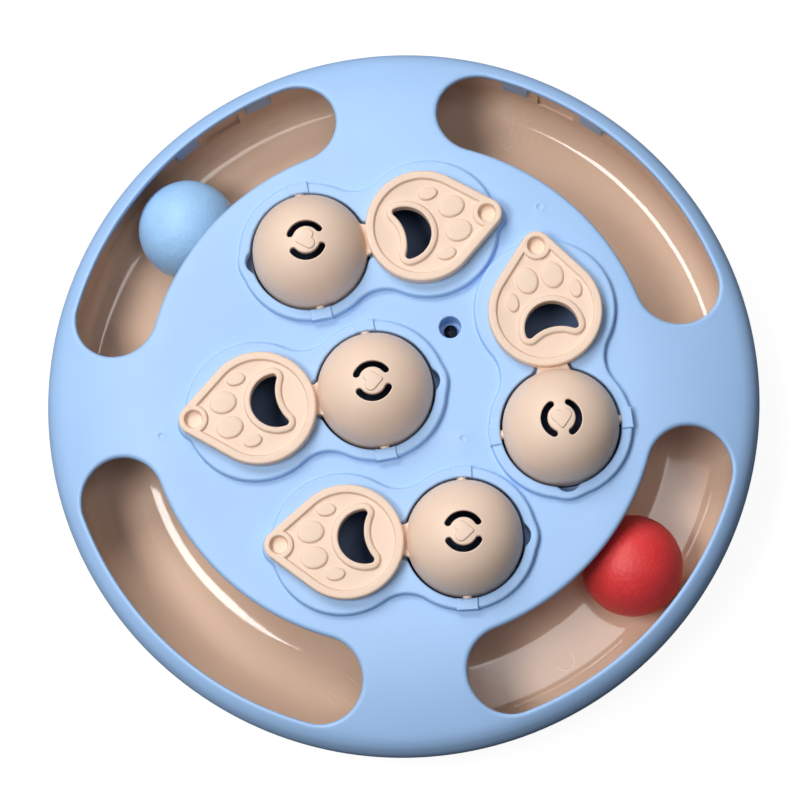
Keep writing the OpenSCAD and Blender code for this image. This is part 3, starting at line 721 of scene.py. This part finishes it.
# Lid: dome, neck and paw as one moulding, in its station's frame with the hinge axis at height 0
DOME_IN, DOME_STEP = DOME_R - DOME_WALL, 0.01
DOME_ANGLES = list(range(6, 79, 6)) + [79, 79.6, 80, 80.4, 81, 82, 84, 86, 88, 90]
SLOT_R, SLOT_HALF, SLOT_ANGLE = 6.1, 1.2, math.radians(59)
HEART_U, HEART_V, HEART_R, HEART_TIP_U, HEART_TIP_R, HEART_RISE = 0.9, 1.6, 2.1, -3.0, 0.8, 0.5
HEART_EDGE = (-0.05, 0.3)
HEART_STEPS = [0.15, 0.05, 0.0, -0.08, -0.17, -0.25, -0.3, -0.5, -1.0]
NECK_START, NECK_LAP, NECK_BLEND, NECK_UNDER = 14.0, 2.0, 0.4, 0.3
NECK_TAPER = (DOME_R - 3, DOME_R + 1.6)
PAW_ROUND, NECK_ROUND, BEAN_ROUND, SLOT_ROUND = 0.9, 0.6, 0.5, 0.4
LIP_EDGE = (LIP - 0.35, LIP + 0.45)
LIP_STEPS = [2.6, 2.75, 2.9, 3.05, 3.2, 3.35, 3.5]
TOES = ((12.1, 4.65, 5.0, 4.1), (5.5, 11.55, 3.6, 2.35))
TOE_CROWN, TOE_RISE, TOE_BLEND = 1.8, 1.0, 0.3
TOE_STEPS = [-0.12, 0.0, 0.03, 0.07, 0.13, 0.2, 0.3, 0.42, 0.56, 0.72, 0.9, 1.1]
BEAN_X, BEAN_R, BITE_X, BITE_R, BEAN_CORNER, BEAN_LIP = -6.8, 9.7, -21.0, 14.5, 1.4, 2.2
BEAN_EDGE = (BEAN_LIP - 0.4, BEAN_LIP + 0.4)
BEAN_STEPS = [1.8, 1.95, 2.1, 2.25, 2.4, 2.55, 2.7]
HOLLOW_WALL, HOLLOW_DEPTH, HOLLOW_DRAFT, DIMPLE_WALL = 1.95, 2.0, 0.25, 5.3
DIMPLE_R, DIMPLE_DEPTH, DIMPLE_ROUND, DIMPLE_RING = 3.3, 2.6, 0.35, 5.05
DIMPLE_SIDE, DIMPLE_EDGE = (DIMPLE_R - 0.6, DIMPLE_R), (DIMPLE_RING - 0.3, DIMPLE_RING + 0.4)
DIMPLE_STEPS = [2.5, 2.7, 2.8, 2.9, 3.0, 3.1, 3.2, 3.3, 3.35, 3.42, 3.52, 3.65]
DIMPLE_STEPS += [4.7, 4.85, 5.0, 5.15, 5.3, 5.5]
PIN_ROOT, PIN_CHAMFER = DOME_R - 1.2, 0.4
SLOT_BOX, HEART_BOX, PAW_BOX = (-8, -8, 8, 8), (-5, -5, 5, 5), (18, -24, 74, 24)


def slot_shape(u, v):
    a = bent_slot(u, v, SLOT_R, SLOT_HALF, SLOT_ANGLE, math.pi / 2)
    return np.minimum(a, bent_slot(u, v, SLOT_R, SLOT_HALF, SLOT_ANGLE, -math.pi / 2))


def boss_shape(u, v):
    """Heart made of two drops that share their tip."""
    du, dv = HEART_TIP_U - HEART_U, -HEART_V
    d = math.hypot(du, dv)
    p, q = u - HEART_U, np.abs(v) - HEART_V
    return drop_shape((p * du + q * dv) / d, (q * du - p * dv) / d, HEART_R, HEART_TIP_R, d)


def neck_half(u):
    return NECK_HALF + NECK_FLARE * (1 - smooth(*NECK_TAPER, u))


def neck_shape(u, v):
    return np.maximum(np.abs(v) - neck_half(u), np.maximum(NECK_START - u, u - NECK_END - NECK_LAP))


def paw_shape(u, v):
    return drop_shape(u - PAW_AT, v, PAW_R, TIP_R, TIP_AT)


def printed(u, v):
    """A place on the paw in the frame of its print, which is turned a little."""
    c, s = math.cos(PRINT_TURN), math.sin(PRINT_TURN)
    p, q = u - PAW_AT, v - PRINT_V
    return c * p + s * q, -s * p + c * q


def bean_shape(u, v):
    """Circle with a bite: the distance to its shrunken form, grown again so that both horns are round."""
    p, q = printed(u, v)
    q = np.abs(q)
    bean_r, bite_r, gap = BEAN_R - BEAN_CORNER, BITE_R + BEAN_CORNER, BEAN_X - BITE_X
    hx = (bite_r ** 2 - bean_r ** 2 - gap ** 2) / (2 * gap)
    hy = math.sqrt(bean_r ** 2 - hx * hx)
    horn = np.hypot(p - BEAN_X - hx, q - hy)
    to_bean, to_bite = disc(p, q, BEAN_X, 0, bean_r), -disc(p, q, BITE_X, 0, bite_r)
    on_bean = np.arctan2(q, p - BEAN_X) <= math.atan2(hy, hx)
    on_bite = np.arctan2(q, p - BITE_X) <= math.atan2(hy, hx + gap)
    away = np.minimum(np.where(on_bean, np.abs(to_bean), horn), np.where(on_bite, np.abs(to_bite), horn))
    return np.where(np.maximum(to_bean, to_bite) < 0, -away, away) - BEAN_CORNER


def toe_shape(u, v):
    p, q = printed(u, v)
    q = np.abs(q)
    return np.minimum(*[oval(p, q, x, y, a, b) for x, y, a, b in TOES])


def toe_rise(u, v):
    """Height of the domed toes over the paw's floor."""
    p, q = printed(u, v)
    q = np.abs(q)
    rise = [1 - ((p - x) / a) ** 2 - ((q - y) / b) ** 2 for x, y, a, b in TOES]
    return join_soft(TOE_CROWN * np.sqrt(np.maximum(np.maximum(*rise), 0)), TOE_RISE, TOE_BLEND)


def dimple_shape(u, v):
    return disc(u, v, PAW_AT + TIP_AT, 0, 0)


def paw_top(u, v):
    s = -paw_shape(u, v)
    floor = PAW_UNDER + PAW_T - RELIEF
    rise = RELIEF * (1 - smooth(*LIP_EDGE, s))
    rise = np.maximum(rise, toe_rise(u, v))
    b = bean_shape(u, v)
    rise = np.maximum(rise, RELIEF * (1 - smooth(*BEAN_EDGE, b)))
    d = dimple_shape(u, v)
    rise = np.maximum(rise, RELIEF * (1 - smooth(*DIMPLE_EDGE, d)))
    z = floor + rise - edge_drop(s, PAW_ROUND) - edge_drop(b, BEAN_ROUND)
    well = DIMPLE_ROUND + (DIMPLE_DEPTH - DIMPLE_ROUND) * (1 - smooth(*DIMPLE_SIDE, d))
    return z - np.where(d < DIMPLE_R, well, edge_drop(d - DIMPLE_R, DIMPLE_ROUND))


def neck_top(u, v):
    return NECK_TOP - edge_drop(neck_half(u) - np.abs(v), NECK_ROUND)


def lid_top(u, v):
    r = np.hypot(u, v)
    dome = np.sqrt(np.maximum(DOME_R ** 2 - r * r, 0))
    heart = HEART_RISE * smooth(*HEART_EDGE, -boss_shape(u, v))
    dome = dome - edge_drop(slot_shape(u, v), SLOT_ROUND) + heart
    dome = np.where(r <= DOME_R + HAIR, dome, FAR_BELOW)
    neck = np.where(neck_shape(u, v) <= HAIR, neck_top(u, v), FAR_BELOW)
    paw = np.where(paw_shape(u, v) <= HAIR, paw_top(u, v), FAR_BELOW)
    return np.maximum(-join_soft(-dome, -neck, NECK_BLEND), paw)


def lid_under(u, v):
    r = np.hypot(u, v)
    hollow = np.sqrt(np.maximum(DOME_IN ** 2 - r * r, 0))
    dome = np.where(r < DOME_IN - DOME_STEP / 2, hollow, -DOME_SKIRT)
    paw = PAW_UNDER + HOLLOW_DEPTH * smooth(0.0, HOLLOW_DRAFT, -hollow_shape(u, v))
    rest = np.where((neck_shape(u, v) <= HAIR) & (u < NECK_END + STEP / 3), NECK_UNDER, paw)
    return np.where(r <= DOME_R + NEAR, dome, rest)


def hollow_shape(u, v):
    """Plan of the hollow under the paw, which leaves a wall round the rim, the bean and the dimple."""
    rim = np.maximum(paw_shape(u, v), -bean_shape(u, v)) + HOLLOW_WALL
    return np.maximum(rim, DIMPLE_WALL - dimple_shape(u, v))


def lid_keep(u, v):
    """Where the lid is solid in plan."""
    solid = (np.hypot(u, v) < DOME_R - HAIR / 10) | (neck_shape(u, v) < 0) | (paw_shape(u, v) < 0)
    return solid & (slot_shape(u, v) > 0) & (bean_shape(u, v) > 0)


def lid_mesh():
    rings = [DOME_R * math.sin(math.radians(a)) for a in DOME_ANGLES]
    rings += [DOME_IN - DOME_STEP, DOME_IN, DOME_R + 2 * DOME_STEP]
    loops = [circle(0, 0, r, 108) for r in rings]
    loops += contours(slot_shape, edge_steps(SLOT_ROUND, 4), SLOT_BOX, 0.25, 0.45)
    loops += contours(boss_shape, HEART_STEPS, HEART_BOX, 0.2, 0.3)
    rim_steps = [HAIR + 0.02] + [-s for s in edge_steps(PAW_ROUND) + LIP_STEPS]
    loops += contours(paw_shape, rim_steps, PAW_BOX, 0.8, 0.9)
    loops += contours(hollow_shape, [0.0, -HOLLOW_DRAFT / 2, -HOLLOW_DRAFT], PAW_BOX, 0.4, 0.6)
    loops += contours(toe_shape, [-s for s in TOE_STEPS], PAW_BOX, 0.3, 0.5)
    loops += contours(bean_shape, edge_steps(BEAN_ROUND, 4) + BEAN_STEPS, PAW_BOX, 0.4, 0.6)
    loops += [circle(PAW_AT + TIP_AT, 0, r, 40) for r in DIMPLE_STEPS]
    lines = []
    us = np.linspace(NECK_START + 0.5, NECK_END + NECK_LAP, 30)
    for sign in (-1, 1):
        for d in edge_steps(NECK_ROUND, 5) + [-0.02]:
            lines.append(np.c_[us, sign * (neck_half(us) - d)])
    for u in (NECK_END, NECK_END + STEP):
        lines.append(np.array([(u, -NECK_HALF - 0.1), (u, NECK_HALF + 0.1)]))
    shells = [plate(loops, lines, lid_keep, lid_top, lid_under)]
    pin = [(0, PIN_ROOT), (PIN_R, PIN_ROOT), (PIN_R, PIN_END - PIN_CHAMFER), (PIN_R - PIN_CHAMFER, PIN_END),
           (0, PIN_END)]
    for side in (-1, 1):
        shells.append(moved(lathe(pin, 32), Matrix.Rotation(side * math.pi / 2, 4, "X")))
    return mesh_of("lid", shells)


lid_data = lid_mesh()
for name, (sx, sy, turn) in stations.items():
    place = Matrix.Translation((sx * MM, sy * MM, AXIS * MM)) @ Matrix.Rotation(turn, 4, "Z")
    piece(name + "_moulding", lid_data, LID, name, name, place)


# Tray: ring track, snap pockets, raised middle floor, screw post and the feet's sockets
FLOOR_UNDER, FLOOR_TOP, RING_TOP, WALL_TOP = 8.0, 10.2, DECK - 15, WIDEST + 1.2
WALL_ROUND, LEDGE_R, LEDGE_T, LEDGE_ROUND = 0.6, COVER_R - 0.6, 2.2, 0.4
POCKET_W, POCKET_DEPTH, POCKET_LOW, POCKET_HIGH = 14.8, 1.1, 14.6, 26.0
POCKET_HALF, POCKET_RAMP = math.asin(POCKET_W / (2 * TRACK_OUT)), 0.12
POCKET_TURN, POCKET_CLEAR, SNAP_HALF, TRAY_TURNS = 0.0012, 0.006, math.radians(30), 240
FULL_TURN = 2 * math.pi
POST_HOLE, POST_R, POST_FOOT, POST_SINK, POST_GAP = 1.35, 4.6, 6.2, 1.0, 0.05
RIB_IN, RIB_OUT, RIB_RISE, RIB_HALF = 3.5, 9.6, 13.0, 0.8
SOCKET_IN, SOCKET_OUT, SOCKET_CHAMFER = FOOT_R + 0.15, FOOT_R + 1.6, 0.2
SOCKET_LOW, SOCKET_HIGH = FOOT_LIFT - 1.0, FOOT_LIFT + 0.8


def arc(cx, cz, r, a0, a1, n):
    turns = [math.radians(a0 + (a1 - a0) * i / n) for i in range(n + 1)]
    return [(cx + r * math.cos(t), cz + r * math.sin(t)) for t in turns]


def tray_profile():
    """Closed counter-clockwise section of the tray, from its middle to its wall and back."""
    near, far = TRACK_IN + CORNER_IN, TRACK_OUT - CORNER_OUT
    near_z, far_z = TRACK_FLOOR + CORNER_IN, TRACK_FLOOR + CORNER_OUT
    near_r, far_r = CORNER_IN + TRAY_WALL, CORNER_OUT + TRAY_WALL
    ridge, outside = TRAY_WALL / 2, TRACK_OUT + TRAY_WALL

    def down(z):
        return 180 + math.degrees(math.asin((near_z - z) / near_r))

    line = [(0.0, FLOOR_TOP)] + arc(near, near_z, near_r, down(FLOOR_TOP), 180, 10)
    line += arc(TRACK_IN - ridge, RING_TOP - ridge, ridge, 180, 0, 8)
    line += arc(near, near_z, CORNER_IN, 180, 270, 36)
    line += arc(far, far_z, CORNER_OUT, 270, 360, 24)
    heights = (POCKET_LOW, POCKET_LOW + POCKET_RAMP, POCKET_HIGH - POCKET_RAMP, POCKET_HIGH)
    line += [(TRACK_OUT, z) for z in heights]
    line += arc(TRACK_OUT + WALL_ROUND, WALL_TOP - WALL_ROUND, WALL_ROUND, 180, 90, 4)
    line += arc(outside - WALL_ROUND, WALL_TOP - WALL_ROUND, WALL_ROUND, 90, 0, 4)
    line += [(outside, SKIRT)] + arc(LEDGE_R - LEDGE_ROUND, SKIRT - LEDGE_ROUND, LEDGE_ROUND, 90, 0, 3)
    line += [(LEDGE_R, SKIRT - LEDGE_T / 2), (outside, SKIRT - LEDGE_T)]
    line += arc(far, far_z, far_r, 0, -90, 20)
    line += arc(near, near_z, near_r, 270, down(FLOOR_UNDER), 20)
    line += [(0.0, FLOOR_UNDER)]
    return line[::-1]


def tray_angles():
    """Angles of the tray's sections, with a close pair at each side of a snap pocket."""
    angles = {round(FULL_TURN * k / TRAY_TURNS, 9) for k in range(TRAY_TURNS)}
    for at in SNAPS:
        for side in (-1, 1):
            edge = at + side * POCKET_HALF
            angles = {a for a in angles if abs((a - edge + math.pi) % FULL_TURN - math.pi) > POCKET_CLEAR}
            angles |= {round((edge + d) % FULL_TURN, 9) for d in (0, -side * POCKET_TURN)}
    return sorted(angles)


def tray_mesh():
    profile, angles = tray_profile(), tray_angles()
    verts = []
    for a in angles:
        off = abs((a + SNAP_HALF) % (2 * SNAP_HALF) - SNAP_HALF)
        in_pocket = off < POCKET_HALF - POCKET_TURN / 2
        for r, z in profile:
            if in_pocket and abs(r - TRACK_OUT) < TINY and POCKET_LOW < z < POCKET_HIGH:
                r += POCKET_DEPTH
            verts.append((r * math.cos(a), r * math.sin(a), z))
    shells = [(np.array(verts), ring_faces(profile, len(angles)))]
    low, top = FLOOR_TOP - POST_SINK, SEAT - SEAT_T - POST_GAP
    post = [(POST_HOLE, low), (POST_FOOT, low), (POST_FOOT, FLOOR_TOP), (5.2, FLOOR_TOP + 0.5),
            (POST_R, FLOOR_TOP + 1.6), (POST_R, top - 0.35), (4.2, top), (POST_HOLE, top)]
    shells.append(moved(lathe(post, 40), SCREW_PLACE))
    side = [(RIB_IN, low), (RIB_OUT, low), (POST_R, FLOOR_TOP + RIB_RISE), (RIB_IN, FLOOR_TOP + RIB_RISE)]
    rib = np.array([(x, y, z) for y in (-RIB_HALF, RIB_HALF) for x, z in side])
    rib_faces = [(0, 1, 2, 3), (7, 6, 5, 4), (1, 0, 4, 5), (2, 1, 5, 6), (3, 2, 6, 7), (0, 3, 7, 4)]
    for turn in QUARTERS:
        shells.append(moved((rib, rib_faces), SCREW_PLACE @ Matrix.Rotation(turn, 4, "Z")))
    inner, outer, cut = SOCKET_IN, SOCKET_OUT, SOCKET_CHAMFER
    socket = [(inner, SOCKET_LOW), (outer - cut, SOCKET_LOW), (outer, SOCKET_LOW + cut), (outer, SOCKET_HIGH),
              (inner, SOCKET_HIGH)]
    shells += [moved(lathe(socket, 48), place) for place in FOOT_PLACES]
    return mesh_of("tray", shells)


piece("tray", tray_mesh(), TRAY, "housing", "base_tray")


# Balls: slightly uneven foam with the faint line where the mould closes
BALL_TURNS, BALL_ROWS, BALL_INSET = 96, 64, 0.06
DENT, DENT_SCALE, PIT, PIT_SCALE, SEAM_HALF = 0.05, 9, 0.04, 40, 0.28
TILT_FIRST, TILT_STEP, ROLL = 38, 20, math.radians(25)


def ball_mesh(seed, seam):
    """Sphere with shallow dents, fine pits and a raised seam, tilted by its seed."""
    turns = [math.pi * i / BALL_ROWS for i in range(BALL_ROWS + 1)]
    profile = [(BALL_R * math.sin(t), -BALL_R * math.cos(t)) for t in turns]
    profile[0], profile[-1] = (0.0, -BALL_R), (0.0, BALL_R)
    verts, faces = lathe(profile, BALL_TURNS)
    out = []
    for x, y, z in verts:
        d = Vector((x, y, z)) / BALL_R
        dent = DENT * (0.5 + 0.5 * noise.noise(d * DENT_SCALE + Vector((seed, 0, 0))))
        dent += PIT * (0.5 + 0.5 * noise.noise(d * PIT_SCALE + Vector((0, seed, 0))))
        line = math.exp(-((z / SEAM_HALF) ** 2))
        out.append(d * (BALL_R - dent + seam * line - BALL_INSET))
    tilt = Matrix.Rotation(math.radians(TILT_FIRST + TILT_STEP * seed), 4, "X")
    return moved((np.array(out), faces), tilt @ Matrix.Rotation(ROLL, 4, "Y"))


for name, material, seed, seam in (("ball_blue", BLUE, 1, 0.05), ("ball_red", RED, 2, 0.03)):
    low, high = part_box(name)
    centre = [(a + b) / 2 / MM for a, b in zip(low, high)]
    mesh = mesh_of(name + "_foam", [moved(ball_mesh(seed, seam), Matrix.Translation(centre))])
    piece(name + "_foam", mesh, material, name, name)


# Feet: moulded rubber discs with a rounded edge and two grip rings
def foot_mesh():
    r, h = FOOT_R, FOOT_LIFT + FOOT_SINK
    line = [(0, 0.25), (2.0, 0.25), (2.3, 0.0), (3.3, 0.0), (3.6, 0.3), (4.2, 0.3), (4.5, 0.0)]
    line += [(r - 0.6, 0.0), (r - 0.18, 0.18), (r, 0.6), (r, h - 0.2), (r - 0.2, h), (0, h)]
    return lathe(line, 56)


for i, place in enumerate(FOOT_PLACES, 1):
    mesh = mesh_of(f"foot_{i}_pad", [moved(foot_mesh(), place)])
    piece(f"foot_{i}_pad", mesh, RUBBER, "housing", f"foot_{i}")

# CAD nodes that stay
for name, obj in frame["nodes"].items():
    material = SHADED_CUP if name.startswith("cup_") else STEEL if name == "cover_screw" else None
    if material:
        if not obj.material_slots:
            obj.data.materials.append(material)
        for place in obj.material_slots:
            place.material = material

# Camera at the photograph's view, fitted to the outlines of the windows and the disc
SENSOR, LENS, EYE_RIGHT, EYE_DOWN = 36.0, 125.55, 0.00005, 0.00399
deck = Vector((0, 0, DECK * MM))
right = Vector((0.9978, -0.0506, -0.0420)).normalized()
back = Vector((0.0322, -0.1809, 0.9830))
back = (back - right * back.dot(right)).normalized()
up = back.cross(right)
camera = bpy.data.objects.new("camera", bpy.data.cameras.new("camera"))
scene.collection.objects.link(camera)
camera.data.sensor_width = SENSOR
camera.data.lens = LENS
camera.data.clip_start = 0.01
eye = deck + back + right * EYE_RIGHT - up * EYE_DOWN
camera.matrix_world = Matrix((right, up, back)).transposed().to_4x4()
camera.matrix_world.translation = eye
scene.camera = camera

# Floor and world: white to the camera, dim to the object
FLOOR_HALF, FLOOR_GREY, FLOOR_WHITE, SKY, SKY_LIGHT = 3.0, 0.12, 0.93, (0.60, 0.78, 1.0, 1), 0.05
floor_mesh = bpy.data.meshes.new("floor")
corners = [(x * FLOOR_HALF, y * FLOOR_HALF, 0) for x, y in ((-1, -1), (1, -1), (1, 1), (-1, 1))]
floor_mesh.from_pydata(corners, [], [(0, 1, 2, 3)])
floor = bpy.data.objects.new("floor", floor_mesh)
scene.collection.objects.link(floor)
ground = bpy.data.materials.new("floor_white")
ground.use_nodes = True
nodes, links = ground.node_tree.nodes, ground.node_tree.links
shader = nodes["Principled BSDF"]
shader.inputs["Base Color"].default_value = (FLOOR_GREY, FLOOR_GREY, FLOOR_GREY, 1)
shader.inputs["Roughness"].default_value = 0.9
shader.inputs["Emission Color"].default_value = (1, 1, 1, 1)
rays = nodes.new("ShaderNodeLightPath")
gain = nodes.new("ShaderNodeMath")
gain.operation = "MULTIPLY"
gain.inputs[1].default_value = FLOOR_WHITE
links.new(rays.outputs["Is Camera Ray"], gain.inputs[0])
links.new(gain.outputs[0], shader.inputs["Emission Strength"])
floor_mesh.materials.append(ground)

sky = bpy.data.worlds.new("studio")
scene.world = sky
sky.use_nodes = True
nodes, links = sky.node_tree.nodes, sky.node_tree.links
nodes.clear()
rays = nodes.new("ShaderNodeLightPath")
seen = nodes.new("ShaderNodeMath")
seen.operation = "MAXIMUM"
links.new(rays.outputs["Is Camera Ray"], seen.inputs[0])
links.new(rays.outputs["Is Transmission Ray"], seen.inputs[1])
soft = nodes.new("ShaderNodeBackground")
soft.inputs["Color"].default_value = SKY
soft.inputs["Strength"].default_value = SKY_LIGHT
white = nodes.new("ShaderNodeBackground")
white.inputs["Color"].default_value = (1, 1, 1, 1)
choice = nodes.new("ShaderNodeMixShader")
out = nodes.new("ShaderNodeOutputWorld")
links.new(seen.outputs[0], choice.inputs[0])
links.new(soft.outputs[0], choice.inputs[1])
links.new(white.outputs[0], choice.inputs[2])
links.new(choice.outputs[0], out.inputs["Surface"])


# Lamps: their places follow from their reflections in the ring track
def softbox(name, place, target, width, height, power):
    light = bpy.data.lights.new(name, "AREA")
    light.shape = "RECTANGLE"
    light.size, light.size_y = width, height
    light.energy = power
    obj = bpy.data.objects.new(name, light)
    scene.collection.objects.link(obj)
    obj.location = place
    obj.rotation_euler = (Vector(target) - Vector(place)).to_track_quat("-Z", "Y").to_euler()


AIM = (0.0, 0.0, 0.04)
softbox("left", (-0.876, -0.187, 1.94), AIM, 0.80, 0.60, 23.0)
softbox("back_left", (-0.666, 1.092, 1.705), AIM, 1.00, 0.75, 23.5)
softbox("back", (0.57, 1.22, 0.41), AIM, 0.5, 0.5, 1.5)
softbox("over", (0.19, -0.02, 1.25), (0.19, -0.02, 0.0), 0.34, 0.36, 1.8)

scene.view_settings.view_transform = "Standard"
